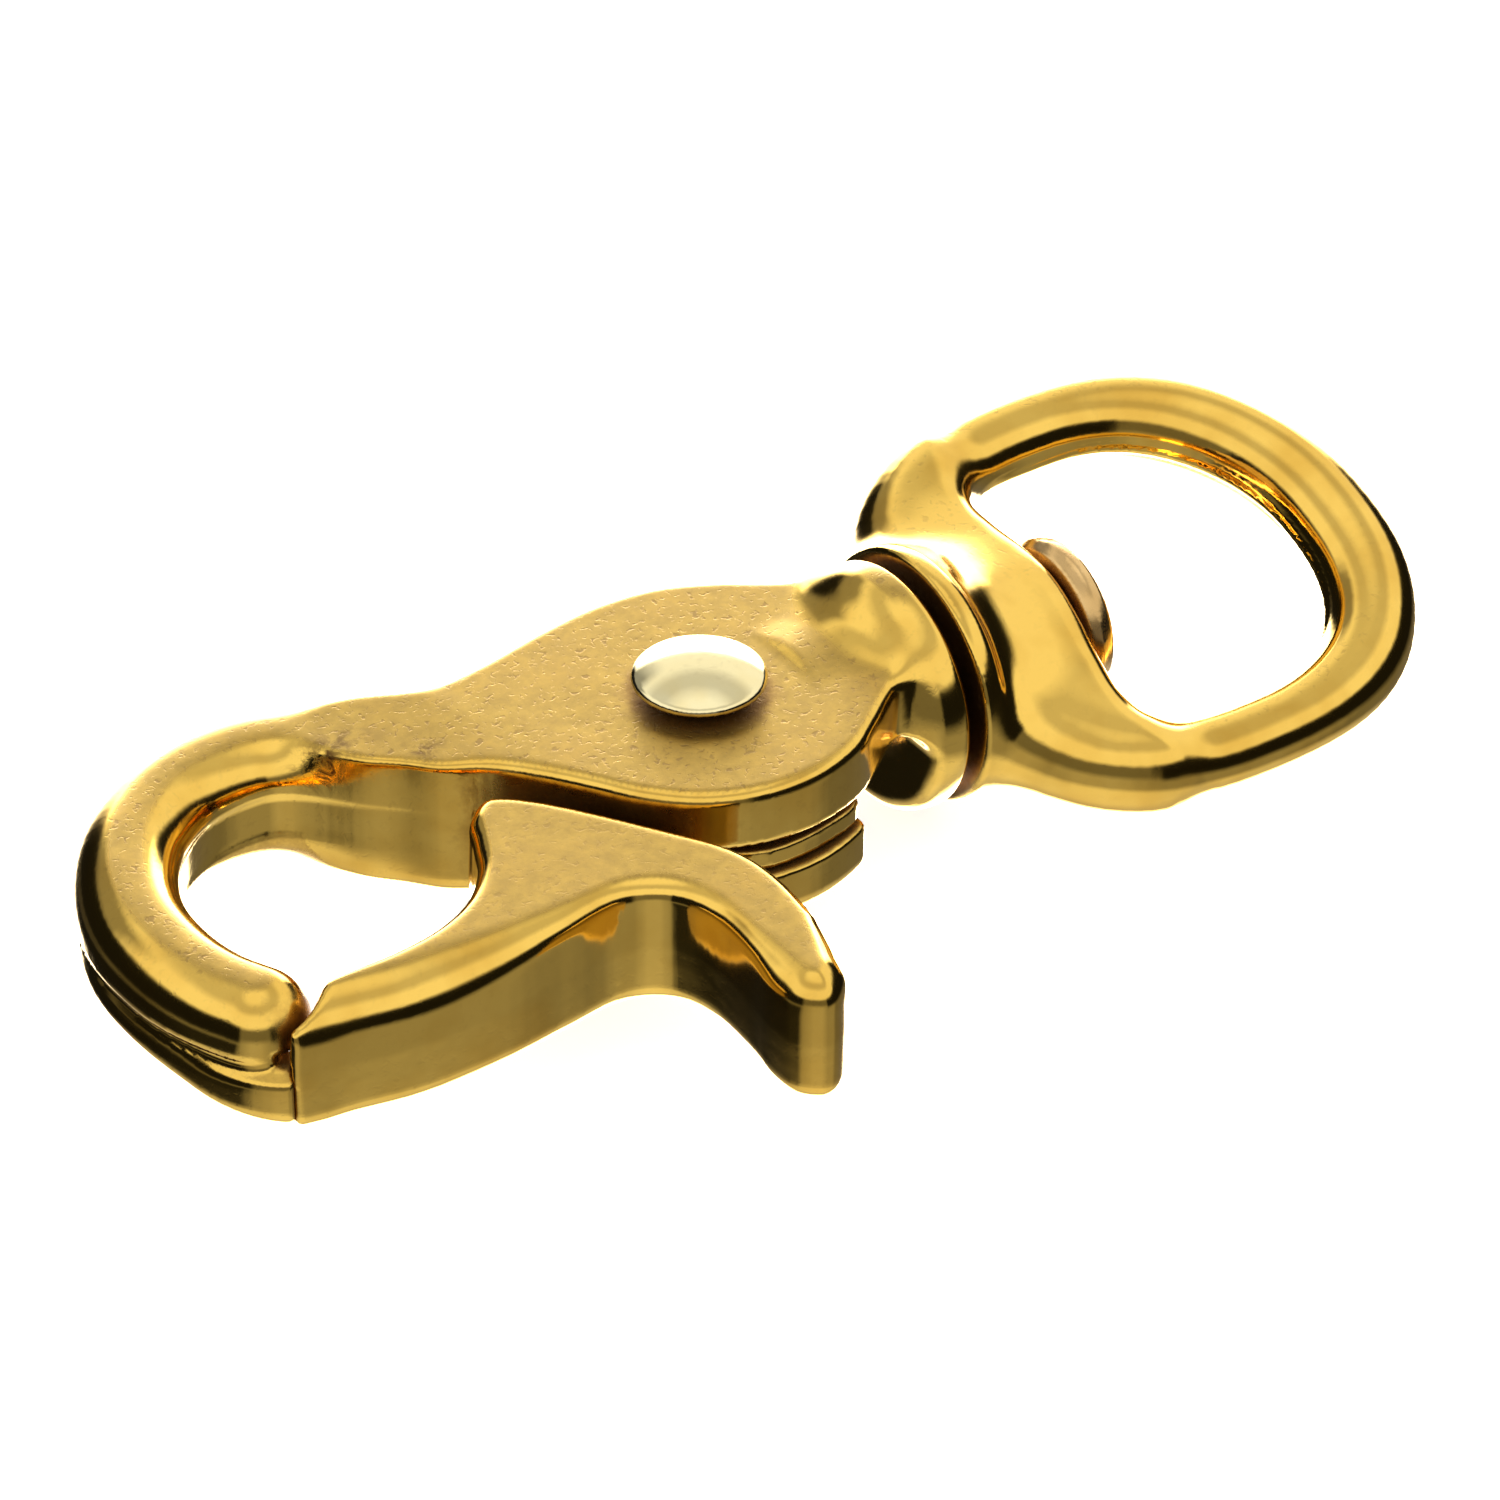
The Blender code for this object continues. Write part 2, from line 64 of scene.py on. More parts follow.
# ---------------------------------------------------------------- solid modelling on distance fields
def smooth_line(points, per_span=5, closed=False):
    """Centripetal Catmull-Rom points through plan points."""
    points = [np.array(p, float) for p in points]
    count = len(points)
    out = []
    for i in range(count if closed else count - 1):
        p1, p2 = points[i], points[(i + 1) % count]
        p0 = points[i - 1] if closed or i else 2 * p1 - p2
        p3 = points[(i + 2) % count] if closed or i < count - 2 else 2 * p2 - p1
        d1, d2, d3 = (math.sqrt(max(np.linalg.norm(b - a), 1e-6)) for a, b in ((p0, p1), (p1, p2), (p2, p3)))
        leave = ((p1 - p0) / d1 - (p2 - p0) / (d1 + d2) + (p2 - p1) / d2) * d2
        arrive = ((p2 - p1) / d2 - (p3 - p1) / (d2 + d3) + (p3 - p2) / d3) * d2
        for t in np.arange(per_span) / per_span:
            out.append(p1 * (2 * t ** 3 - 3 * t ** 2 + 1) + leave * (t ** 3 - 2 * t ** 2 + t)
                       + p2 * (3 * t ** 2 - 2 * t ** 3) + arrive * (t ** 3 - t ** 2))
    if not closed:
        out.append(points[-1])
    return np.array(out)


def line_field(x, y, line, closed=False):
    """Distance to a plan line, the side (+1 left of it) and how far along it the nearest point lies, mm."""
    x, y = np.broadcast_arrays(x, y)
    best = np.full(x.shape, 1e9)
    side = np.ones(x.shape)
    along = np.zeros(x.shape)
    inside = np.zeros(x.shape, bool)
    run = 0.0
    ends = np.roll(line, -1, axis=0) if closed else line[1:]
    for a, b in zip(line, ends):
        d = b - a
        length = math.hypot(*d)
        px, py = x - a[0], y - a[1]
        t = np.clip((px * d[0] + py * d[1]) / length ** 2, 0, 1)
        dist = np.hypot(px - t * d[0], py - t * d[1])
        near = dist < best
        best = np.where(near, dist, best)
        side = np.where(near, np.sign(d[0] * py - d[1] * px), side)
        along = np.where(near, run + t * length, along)
        if closed and d[1]:
            crosses = (a[1] > y) != (b[1] > y)
            inside ^= crosses & (x < a[0] + d[0] * (y - a[1]) / d[1])
        run += length
    if closed:
        return np.where(inside, -best, best)
    return best, side, along


class Plan:
    """A plan line's field, worked out once on a fine grid and read from it: the distance to a closed
    line (inside negative), or an open line's distance, signed distance and length along it."""
    CELL = 0.1
    MARGIN = 6.0

    def __init__(self, line, closed=False):
        self.low = line.min(0) - self.MARGIN
        x, y = (np.arange(a, b, self.CELL) for a, b in zip(self.low, line.max(0) + self.MARGIN))
        found = line_field(x[:, None], y[None, :], line, closed)
        self.tables = [found] if closed else [found[0], found[0] * found[1], found[2]]

    def __call__(self, x, y):
        most = np.array(self.tables[0].shape) - 1.001
        u = np.clip((x - self.low[0]) / self.CELL, 0, most[0])
        v = np.clip((y - self.low[1]) / self.CELL, 0, most[1])
        i, j = u.astype(int), v.astype(int)
        u, v = u - i, v - j
        out = [(t[i, j] * (1 - u) + t[i + 1, j] * u) * (1 - v)
               + (t[i, j + 1] * (1 - u) + t[i + 1, j + 1] * u) * v for t in self.tables]
        return out[0] if len(out) == 1 else out


def box2(a, b, half_a, half_b, radius):
    """Rounded rectangle field."""
    qa, qb = np.abs(a) - half_a + radius, np.abs(b) - half_b + radius
    return np.hypot(np.maximum(qa, 0), np.maximum(qb, 0)) + np.minimum(np.maximum(qa, qb), 0) - radius


def join(a, b, k):
    h = np.clip(0.5 + 0.5 * (b - a) / k, 0, 1)
    return b + (a - b) * h - k * h * (1 - h)


def cut(a, b, k):
    """a with b taken out, the edge rounded by about k."""
    return -join(-a, b, k)


def both(a, b, k):
    return -join(-a, -b, k)


def ramp(x, start, end):
    t = np.clip((x - start) / (end - start), 0, 1)
    return t * t * (3 - 2 * t)


def turned_field(along, radius, profile, k=0.0):
    """A turned solid: profile of (along, radius) pairs, closed through the axis."""
    outline = [(profile[0][0], -1.0)] + list(profile) + [(profile[-1][0], -1.0)]
    return line_field(along, radius, np.array(outline, float), closed=True) - k


def surface(name, shape, low, high, step):
    """The surface where shape is 0, as a smooth, even mesh (surface nets, then drawn on to the surface)."""
    axes = [np.arange(a, b + step, step) for a, b in zip(low, high)]
    grid = shape(axes[0][:, None, None], axes[1][None, :, None], axes[2][None, None, :])
    grid = np.broadcast_to(grid, [len(a) for a in axes]).astype(np.float32)
    inside = grid < 0
    cells = np.array(grid.shape) - 1
    total = np.zeros(cells, np.int8)
    for i in (0, 1):
        for j in (0, 1):
            for k in (0, 1):
                total += inside[i:cells[0] + i, j:cells[1] + j, k:cells[2] + k]
    active = (total > 0) & (total < 8)
    index = np.full(cells, -1, np.int64)
    index[active] = np.arange(active.sum())
    where = np.argwhere(active)
    points = (where + 0.5) * step + np.array([a[0] for a in axes])
    quads = []
    for axis in range(3):
        u, v = (axis + 1) % 3, (axis + 2) % 3
        first = np.moveaxis(inside, (axis, u, v), (0, 1, 2))
        change = first[:-1] != first[1:]
        at = np.argwhere(change[:, 1:-1, 1:-1]) + np.array([0, 1, 1])
        leaving = first[:-1][at[:, 0], at[:, 1], at[:, 2]]
        cube = np.moveaxis(index, (axis, u, v), (0, 1, 2))
        ring = [cube[at[:, 0], at[:, 1] - p, at[:, 2] - q] for p, q in ((1, 1), (0, 1), (0, 0), (1, 0))]
        quad = np.stack(ring, 1)
        quad[~leaving] = quad[~leaving][:, ::-1]
        quads.append(quad)
    quads = np.concatenate(quads)
    edges = np.concatenate([quads[:, [i, (i + 1) % 4]] for i in range(4)])
    edges = np.concatenate([edges, edges[:, ::-1]])
    degree = np.bincount(edges[:, 0], minlength=len(points))[:, None]
    for _ in range(3):
        points = settle(points, shape, 2)
        mean = np.stack([np.bincount(edges[:, 0], points[edges[:, 1], i], len(points)) for i in range(3)], 1)
        points = points * 0.4 + mean / np.maximum(degree, 1) * 0.6
    points = settle(points, shape, 3)
    mesh = bpy.data.meshes.new(name)
    mesh.vertices.add(len(points))
    mesh.loops.add(quads.size)
    mesh.polygons.add(len(quads))
    mesh.vertices.foreach_set("co", points.astype(np.float32).ravel())
    mesh.polygons.foreach_set("loop_start", np.arange(0, quads.size, 4))
    mesh.loops.foreach_set("vertex_index", quads.astype(np.int32).ravel())
    mesh.update(calc_edges=True)
    mesh.shade_smooth()
    return mesh, points


def slope(points, shape, h=0.02):
    out = []
    for i in range(3):
        step = np.zeros(3)
        step[i] = h
        out.append((shape(*(points + step).T) - shape(*(points - step).T)) / (2 * h))
    return np.stack(out, 1)


def settle(points, shape, rounds):
    for _ in range(rounds):
        value = shape(*points.T)
        g = slope(points, shape)
        size = np.maximum((g ** 2).sum(1), 0.05)
        move = g * (value / size)[:, None]
        far = np.maximum(np.linalg.norm(move, axis=1, keepdims=True) / 0.2, 1.0)
        points = points - move / far
    return points


# ---------------------------------------------------------------- body casting
HOOK = smooth_line([(-8.0, 4.0), (-14.2, 8.0), (-18.6, 10.5), (-23.2, 12.4), (-28.2, 11.9), (-32.0, 9.5),
                    (-34.6, 6.1), (-36.1, 2.2), (-36.4, -2.2), (-35.8, -5.6), (-34.8, -7.9)], 6)
LEDGE = smooth_line([(-34.6, 6.1), (-36.1, 2.2), (-36.4, -2.2), (-35.8, -5.6), (-34.9, -8.2), (-33.6, -9.5),
                     (-31.3, -10.0)], 6)
SEAM = np.array((0.87, -0.50, 24.6))     # plane where the ledge under the nose meets the jaw
BAR_HALF, BAR_UP = 3.05, 4.1
CHEEK = smooth_line([(-16.2, 2.6), (-13.9, 0.9), (-11.9, -1.4), (-10.2, -3.8)]
                    + [(10.6 * math.cos(math.radians(a)), 10.6 * math.sin(math.radians(a)))
                       for a in (216, 236, 256, 276, 296, 312)]
                    + [(9.2, -6.3), (11.0, -5.2), (13.0, -4.6), (13.0, 5.6), (11.0, 6.6), (9.4, 7.6),
                       (7.4, 9.0), (4.0, 10.6), (0.0, 11.1), (-4.5, 10.6), (-8.6, 9.8), (-11.7, 9.5),
                       (-14.2, 9.8), (-16.6, 10.4), (-18.8, 10.2), (-19.8, 8.8), (-19.2, 6.4), (-17.6, 4.4)],
                    5, closed=True)
HOOK_PLAN, LEDGE_PLAN, NOSE_PLAN, CHEEK_PLAN = Plan(HOOK), Plan(LEDGE), Plan(HOOK[-14:]), Plan(CHEEK, True)
COLLAR = smooth_line([(6.0, 4.0), (8.8, 4.3), (10.2, 5.2), (11.3, 6.3), (12.4, 6.95), (14.6, 7.1)], 4)
SLOT = smooth_line([(-14.0, 2.0), (-8.0, 6.2), (0.0, 6.2), (8.0, 6.2), (8.8, 4.0), (8.8, -4.0), (10.2, -7.0),
                    (9.0, -14.0), (-12.0, -14.0), (-15.0, -5.0)], 4, closed=True)
SLOT_PLAN = Plan(SLOT, True)


def body_solid(x, y, z):
    dist, across, along = HOOK_PLAN(x, y)                 # across is + on the inner side of the hook
    low = BAR_UP - 1.75 * ramp(along, 16.0, 34.0)         # the bar gets shallower towards the nose
    bar = box2(dist, np.where(z < 0, z * BAR_UP / low, z), BAR_HALF, BAR_UP, 2.95)
    wall = across - 2.86 - 0.22 * ramp(z, 0.9, 1.5) - 0.14 * ramp(-z, 1.1, 1.6)
    bar = both(bar, np.where(along < 38.0, wall, -1.0), 0.25)
    beyond = -(SEAM[0] * x + SEAM[1] * y + SEAM[2])
    bar = cut(bar, np.where(y < -2.0, np.maximum(beyond - 0.6, z - 0.45), 9.0), 0.7)
    ledge_dist, ledge_across, ledge_along = LEDGE_PLAN(x, y)
    low = 2.35 + 1.70 * ramp(ledge_along, 7.0, 20.5)
    ledge = box2(ledge_dist, z + low / 2, BAR_HALF + 0.12 * ramp(ledge_along, 1.0, 8.0), low / 2, 1.15)
    ledge = both(ledge, -beyond - 0.1, 0.1)
    groove = np.hypot(ledge_dist - BAR_HALF - 0.02, z - 0.12) - 0.20 * ramp(ledge_along, 2.0, 8.0) \
        - 0.30 * ramp(ledge_along, 9.0, 17.0)
    groove = np.where(ledge_across > 0, 1.0, groove)
    hook = cut(join(bar, ledge, 0.25), groove, 0.3)
    # cheeks, their walls a little drafted, the edges rounded: softly below, less above
    plan = CHEEK_PLAN(x, y)
    upper = box2(np.maximum(plan + 0.03 * z + 3.0, 0.0), z, 3.0, CHEEK_TOP, 0.85)
    lower = box2(np.maximum(plan + 3.0, 0.0), z, 3.0, CHEEK_TOP, 1.5)
    cheeks = np.where(z > 0, upper, lower)
    solid = join(hook, cheeks, 3.4 * ramp(-x, 9.0, 18.0) + 0.4)
    height = BAR_UP + (CHEEK_TOP - BAR_UP) * ramp(x, -22.0, -9.5)    # one slope from the bar to the cheeks
    solid = both(solid, np.abs(z) - height - 0.06, 0.3)
    # neck and bell-shaped collar
    radius = np.hypot(y, z)
    collar = turned_field(x, radius, COLLAR, 0.5)
    collar = both(collar, 7.0 - x, 0.3)
    solid = join(solid, collar, 1.6)
    solid = both(solid, x - COLLAR_FACE, 0.8)
    # slot for the gate's tongue, window under the neck, bores
    slot_plan = SLOT_PLAN(x, y)
    slot = np.maximum(slot_plan, np.maximum(SLOT_LOW - z, z - SLOT_HIGH))
    solid = cut(solid, slot, 0.35)
    window = box2(x - 8.5, z + 5.2, 3.1, 6.0, 1.6)
    window = np.maximum(window, y - 5.6)
    solid = cut(solid, window, 0.6)
    solid = cut(solid, np.maximum(radius - 3.7, np.abs(x - 8.4) - 2.1), 0.2)
    solid = cut(solid, np.maximum(radius - STUD_BORE_R, np.abs(x - 12.0) - 4.0), 0.2)
    solid = cut(solid, np.hypot(x, y) - RIVET_BORE_R, 0.2)
    solid = cut(solid, np.maximum(np.hypot(x, y) - 3.9, np.abs(z - 1.4) - 1.5), 0.1)
    return solid


# ---------------------------------------------------------------- gate casting
GATE = smooth_line([(-31.6, -12.9), (-27.5, -13.7), (-22.0, -13.7), (-17.5, -13.2), (-13.6, -12.9),
                    (-11.6, -14.1), (-10.7, -16.6), (-10.8, -20.4), (-11.2, -23.4), (-10.9, -25.3),
                    (-9.3, -26.5), (-7.5, -25.4), (-6.6, -23.4), (-6.0, -20.8), (-5.5, -16.2), (-6.0, -12.8),
                    (-8.1, -9.0), (-13.3, -1.6), (-15.2, -0.5), (-16.9, -1.6), (-17.8, -3.4), (-19.1, -5.8),
                    (-21.2, -7.9), (-24.0, -9.2), (-27.3, -9.7), (-30.0, -9.7), (-32.6, -9.9), (-34.8, -10.9),
                    (-35.0, -12.1), (-33.6, -12.6)], 5, closed=True)
JAW_EDGE = smooth_line([(-36.0, -12.0), (-31.6, -12.9), (-27.5, -13.7), (-22.0, -13.7), (-17.5, -13.2),
                        (-13.6, -12.9), (-11.6, -14.1), (-10.7, -16.6), (-10.8, -20.4), (-11.2, -23.4),
                        (-10.9, -25.3), (-9.3, -26.5), (-7.5, -25.4), (-6.6, -23.4), (-6.0, -20.8)], 5)
TONGUE = smooth_line([(-6.2, -8.0), (-2.0, -10.0), (2.4, -9.8), (5.0, -8.7), (5.3, -3.0), (4.6, 2.6),
                      (0.0, 5.2), (-4.6, 2.6), (-6.5, 0.6), (-12.4, -3.4), (-13.0, -6.0), (-9.6, -10.8)],
                     4, closed=True)
GATE_PLAN, TONGUE_PLAN, JAW_PLAN = Plan(GATE, True), Plan(TONGUE, True), Plan(JAW_EDGE)


def gate_solid(x, y, z):
    plan = GATE_PLAN(x, y)
    solid = box2(np.maximum(plan + 0.03 * np.abs(z) + 2.1, 0.0), z, 2.1, GATE_UP, 1.2)
    # the jaw's outer edge is rolled over more softly, most of all at its tip
    depth = JAW_PLAN(x, y)[1]
    roll = 1.3 + 1.7 * ramp(-x, 13.0, 27.0) + 0.9 * ramp(-y, 19.0, 24.0)
    rolled = np.hypot(np.maximum(roll - depth, 0), np.maximum(z - GATE_UP + roll, 0)) - roll
    solid = both(solid, rolled, 0.15)
    nose = NOSE_PLAN(x, y)[0] - BAR_HALF - 0.3 - 0.10 * np.maximum(z, 0)
    solid = cut(solid, np.maximum(nose, 0.15 - z), 0.6)
    room = SEAM[0] * x + SEAM[1] * y + SEAM[2] - 0.06
    solid = cut(solid, np.maximum(room, z - 0.4), 0.1)
    tongue = TONGUE_PLAN(x, y)
    tongue = box2(np.maximum(tongue + 0.3, 0.0), z + 0.375, 0.3, 0.675, 0.2)
    solid = join(solid, tongue, 0.3)
    return cut(solid, np.hypot(x, y) - RIVET_BORE_R, 0.15)


# ---------------------------------------------------------------- swivel eye (in its own, undrooped frame)
def eye_line(angle):
    c, s = math.cos(angle), math.sin(angle)
    power = 2 / (2.4 if s < 0 else 2.3 - 0.3 * c)
    return 31.5 + 14.05 * math.copysign(abs(c) ** power, c), 12.75 * math.copysign(abs(s) ** power, s)


EYE = np.array([eye_line(t) for t in np.linspace(0, 2 * math.pi, 97)[:-1]])
YOKE = smooth_line([(24.6, -9.0), (24.6, 0.0), (24.6, 9.0), (24.9, 10.6), (24.6, 13.4), (22.0, 12.6),
                    (18.6, 9.6), (16.2, 5.0), (16.0, 0.0), (16.2, -5.0), (18.6, -9.6), (22.0, -12.6),
                    (24.6, -13.4), (24.9, -10.6)], 4, closed=True)
CONE = smooth_line([(14.0, 7.55), (15.9, 7.5), (16.6, 6.9), (18.2, 5.9), (20.6, 4.9), (24.4, 3.9)], 4)
EYE_PLAN, YOKE_PLAN = Plan(EYE, True), Plan(YOKE, True)


def eye_solid(x, y, z):
    ring = EYE_PLAN(x, y)
    thick = 2.38 + 0.42 * ramp(x, 33.0, 44.0) - 0.12 * ramp(-y, 4.0, 11.0)
    bar = np.hypot(ring, z) - thick
    ridge = np.hypot(ring + thick - 0.10, z + 0.1) - 0.28 * ramp(x, 26.0, 31.0)
    bar = join(bar, ridge, 0.25)
    radius = np.hypot(y, z)
    yoke_up = 2.5 + 1.7 * (1 - ramp(np.abs(y), 3.0, 11.0))
    yoke = box2(np.maximum(YOKE_PLAN(x, y) + 2.6, 0), z, 2.6, yoke_up, 1.9)
    cone = turned_field(x, radius, CONE, 0.3)
    cone = both(cone, 14.87 - x, 0.35)
    solid = join(join(yoke, cone, 2.2), bar, 3.0)
    face = box2(x - 26.2, y, 2.0, 8.4, 1.0)
    solid = cut(solid, np.maximum(face, np.abs(z) - 7.0), 0.5)
    return cut(solid, np.maximum(radius - STUD_BORE_R, x - 26.0), 0.2)


# ---------------------------------------------------------------- turned pieces
def rivet_solid(x, y, z):
    radius = np.hypot(x, y)
    cap = 8.9                                             # radius of the domed head
    head = [(6.98 - cap + math.sqrt(cap ** 2 - r ** 2), r) for r in np.linspace(0, 3.75, 14)]
    profile = head + [(5.95, 3.95), (5.6, 3.9), (5.55, 3.3), (5.0, 3.0), (4.98, 1.95), (-4.98, 1.95),
                      (-5.0, 3.1), (-5.5, 3.1), (-5.95, 2.5), (-6.0, 0.0)]
    return turned_field(z, radius, profile, 0.0)


def stud_solid(x, y, z):
    radius = np.hypot(y, z)
    profile = [(27.5, 0.0), (27.42, 1.8), (27.15, 3.1), (26.7, 4.1), (26.1, 4.75), (25.5, 4.85), (24.9, 4.5),
               (24.6, 3.9), (24.6, 2.3), (10.3, 2.3), (10.3, 3.3), (9.4, 3.3), (8.5, 2.6), (8.45, 0.0)]
    return turned_field(x, radius, profile, 0.08)


def rotated(shape, angle):
    """The field of a shape turned about X by an angle."""
    c, s = math.cos(angle), math.sin(angle)
    return lambda x, y, z: shape(x, y * c + z * s, z * c - y * s)


# ---------------------------------------------------------------- materials
class Nodes:
    """Small helper for building a node tree."""

    def __init__(self, tree):
        self.tree = tree

    def add(self, kind, inputs=None, **settings):
        node = self.tree.nodes.new(kind)
        for key, value in settings.items():
            setattr(node, key, value)
        for key, value in (inputs or {}).items():
            if isinstance(value, bpy.types.NodeSocket):
                self.tree.links.new(value, node.inputs[key])
            else:
                node.inputs[key].default_value = value
        return node

    def math(self, operation, a, b=0.5, clamp=False):
        node = self.add("ShaderNodeMath", {0: a, 1: b}, operation=operation, use_clamp=clamp)
        return node.outputs[0]

    def noise(self, vector, scale, detail=4.0, rough=0.6, distortion=0.0):
        node = self.add("ShaderNodeTexNoise", {"Vector": vector, "Scale": scale, "Detail": detail,
                                               "Roughness": rough, "Distortion": distortion})
        return node.outputs["Fac"]

    def range(self, value, low, high, to_low=0.0, to_high=1.0):
        node = self.add("ShaderNodeMapRange", {"Value": value, "From Min": low, "From Max": high,
                                               "To Min": to_low, "To Max": to_high})
        return node.outputs[0]

    def mix(self, factor, a, b):
        node = self.add("ShaderNodeMix", data_type="RGBA")
        for socket, value in ((node.inputs[0], factor), (node.inputs[6], a), (node.inputs[7], b)):
            if isinstance(value, bpy.types.NodeSocket):
                self.tree.links.new(value, socket)
            else:
                socket.default_value = value
        return node.outputs[2]


def rgb(r, g, b):
    return (r, g, b, 1.0)


BRIGHT, DULL, SATIN = rgb(0.93, 0.60, 0.12), rgb(0.80, 0.48, 0.08), rgb(0.47, 0.30, 0.07)
# brown for painted shade in hollows and in the gaps between pieces, partly tarnish
SHADE_AND_TARNISH = rgb(0.26, 0.13, 0.03)


def brass(name, bright, dull, satin, gloss, rough, pits):
    """Cast brass: bright where it is rubbed, duller by slow noise, darkened in hollows and in the gaps
    between pieces (the "hollow" attribute), which is painted shade together with some tarnish, satin with
    fine pits on flats (the "flat" attribute)."""
    mat = bpy.data.materials.new(name)
    mat.use_nodes = True
    n = Nodes(mat.node_tree)
    shader = mat.node_tree.nodes["Principled BSDF"]
    place = n.add("ShaderNodeTexCoord").outputs["Object"]
    hollow = n.add("ShaderNodeAttribute", attribute_name="hollow").outputs["Fac"]
    flat = n.add("ShaderNodeAttribute", attribute_name="flat").outputs["Fac"]
    stain = n.add("ShaderNodeAttribute", attribute_name="stain").outputs["Fac"]
    slow = n.noise(place, 160.0, 3.0)
    mottled = n.noise(place, 900.0, 6.0, 0.7)
    fine = n.noise(place, 2600.0, 4.0, 0.7)
    colour = n.mix(n.range(slow, 0.42, 0.66), bright, dull)
    colour = n.mix(n.math("MULTIPLY", flat, n.range(mottled, 0.35, 0.65, 0.7, 1.0)), colour, satin)
    # painted shade with some tarnish: enclosed places (hollow) are darkened towards the brown
    dark = n.range(n.math("ADD", hollow, n.range(mottled, 0.3, 0.7, -0.15, 0.15)), 0.22, 0.95)
    colour = n.mix(dark, colour, SHADE_AND_TARNISH)
    speck = n.math("MULTIPLY", stain, n.range(n.noise(place, 900.0, 8.0, 0.7, 0.6), 0.44, 0.58), clamp=True)
    colour = n.mix(speck, colour, rgb(0.10, 0.045, 0.015))
    pit = n.range(n.noise(place, 2300.0, 3.0, 0.5, 0.6), 0.57, 0.68)
    pit = n.math("MULTIPLY", pit, n.range(flat, 0.0, 1.0, pits * 0.15, pits))
    colour = n.mix(n.math("MULTIPLY", pit, 0.6), colour, rgb(0.30, 0.18, 0.06))
    n.tree.links.new(colour, shader.inputs["Base Color"])
    shader.inputs["Metallic"].default_value = 1.0
    roughness = n.range(slow, 0.3, 0.7, gloss, gloss + 0.08)
    roughness = n.math("ADD", roughness, n.math("MULTIPLY", flat, rough))
    roughness = n.math("ADD", roughness, n.math("MULTIPLY", dark, 0.30))
    roughness = n.math("ADD", roughness, n.math("MULTIPLY", speck, 0.3), clamp=True)
    n.tree.links.new(roughness, shader.inputs["Roughness"])
    height = n.math("SUBTRACT", n.math("MULTIPLY", slow, 1.0), n.math("MULTIPLY", pit, 0.3))
    height = n.math("SUBTRACT", height, n.math("MULTIPLY", n.math("MULTIPLY", fine, flat), 0.10))
    height = n.math("SUBTRACT", height, n.math("MULTIPLY", speck, 0.12))
    rough_cast = n.math("MULTIPLY", n.math("MULTIPLY", hollow, mottled), 1.2)
    height = n.math("ADD", height, rough_cast)
    bump = n.add("ShaderNodeBump", {"Height": height, "Strength": 0.5, "Distance": 0.00006})
    n.tree.links.new(bump.outputs[0], shader.inputs["Normal"])
    return mat


body_brass = brass("body_brass", BRIGHT, DULL, SATIN, 0.07, 0.22, 1.0)
gate_brass = brass("gate_brass", BRIGHT, DULL, SATIN, 0.07, 0.20, 0.5)
eye_brass = brass("eye_brass", BRIGHT, DULL, BRIGHT, 0.06, 0.10, 0.4)
rivet_brass = brass("rivet_brass", rgb(0.96, 0.84, 0.48), rgb(0.90, 0.72, 0.32), rgb(0.95, 0.82, 0.45),
                    0.05, 0.02, 0.1)
stud_brass = brass("stud_brass", rgb(0.90, 0.60, 0.26), rgb(0.66, 0.42, 0.16), rgb(0.8, 0.5, 0.2),
                   0.16, 0.10, 0.8)


def spring_steel():
    mat = bpy.data.materials.new("spring_steel")
    mat.use_nodes = True
    n = Nodes(mat.node_tree)
    shader = mat.node_tree.nodes["Principled BSDF"]
    place = n.add("ShaderNodeTexCoord").outputs["Object"]
    drawn = n.noise(place, 3000.0, 3.0)
    n.tree.links.new(n.mix(drawn, rgb(0.62, 0.60, 0.56), rgb(0.42, 0.40, 0.37)), shader.inputs["Base Color"])
    n.tree.links.new(n.range(drawn, 0.2, 0.8, 0.25, 0.45), shader.inputs["Roughness"])
    shader.inputs["Metallic"].default_value = 1.0
    return mat


# ---------------------------------------------------------------- building the pieces
PIECES = [
    # name, CAD node, body, slot, solid, low and high corner, step, material
    ("body_casting", "snap_body", "body", "body_brass", body_solid,
     (-41, -13.5, -8.2), (15.5, 16.5, 8.2), 0.25, body_brass),
    ("gate_casting", "gate", "gate", "gate_brass", gate_solid,
     (-38.5, -28, -4.8), (7, 7, 4.8), 0.25, gate_brass),
    ("eye_casting", "swivel_eye", "eye", "eye_brass", rotated(eye_solid, DROOP),
     (14, -16, -8.6), (50, 16, 8.6), 0.25, eye_brass),
    ("rivet_turned", "pivot_rivet", "body", "rivet_brass", rivet_solid,
     (-5, -5, -6.6), (5, 5, 7.6), 0.2, rivet_brass),
    ("stud_turned", "swivel_stud", "body", "stud_brass", stud_solid,
     (7.5, -6, -6), (28.5, 6, 6), 0.2, stud_brass),
]


def spot(points, x, y, z, reach):
    return np.exp(-(((points - np.array((x, y, z))) / reach) ** 2).sum(1))


def attribute(mesh, name, values):
    layer = mesh.attributes.new(name, "FLOAT", "POINT")
    layer.data.foreach_set("value", np.ascontiguousarray(values, np.float32))


built = []
for name, node, body, slot, shape, low, high, step, mat in PIECES:
    mesh, points = surface(name, shape, low, high, step)
    built.append((name, node, body, slot, shape, mat, mesh, points))

